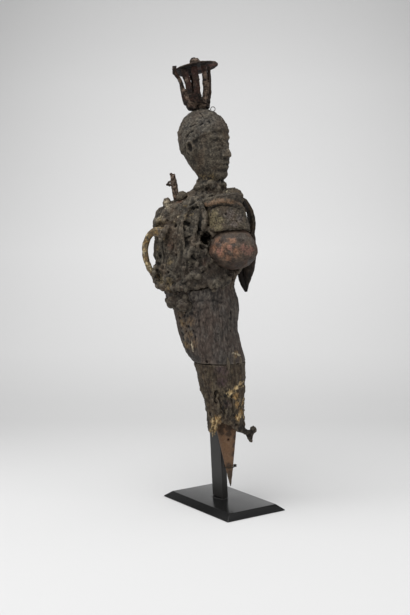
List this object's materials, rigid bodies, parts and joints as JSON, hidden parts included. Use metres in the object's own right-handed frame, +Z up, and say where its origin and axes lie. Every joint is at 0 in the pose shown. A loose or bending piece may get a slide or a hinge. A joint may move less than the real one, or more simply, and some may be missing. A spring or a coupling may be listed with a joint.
{
  "type": "fon power figure",
  "caption": "Bound and encrusted carved power figure with a calabash, horns and an iron altar cage on its crown, leaning on a bevelled display stand.",
  "frame": {"origin": "middle of the display plate's underside", "axes": "+Z up along the figure, the plate's short side along X and its long side along Y, the figure leaning back towards +Y"},
  "size_m": [0.1226, 0.1523, 0.559],
  "materials": {
    "plate": "black satin lacquer on steel",
    "bar": "dark waxed steel",
    "crusted_wood": "thick dry sacrificial crust over carved wood",
    "crusted_cloth": "cloth stiff with dark crust",
    "torn_cloth": "worn brown cloth with yellow fibres",
    "calabash": "dried gourd rind, reddish and rubbed",
    "bundle_cloth": "grey brown cloth, earth crusted",
    "pale_horn": "dry yellow horn",
    "dark_horn": "dark weathered horn",
    "dark_fibre": "dark twisted plant fibre",
    "old_iron": "hand forged iron with brown rust"
  },
  "bodies": {
    "root": {"base_plate": "plate", "post": "bar", "figure": "crusted_wood", "hip_wrap": "crusted_cloth", "stake_wrap": "torn_cloth", "gourd": "calabash", "medicine_bundle": "bundle_cloth", "shoulder_packet": "bundle_cloth", "nape_packet": "bundle_cloth", "pale_horn": "pale_horn", "dark_horn": "dark_horn", "horn_strap": "dark_fibre", "iron_peg": "old_iron", "asen_cage": "old_iron", "asen_disc": "old_iron", "stake_cord": "dark_fibre", "wire_curl": "old_iron"}
  },
  "joints": []
}
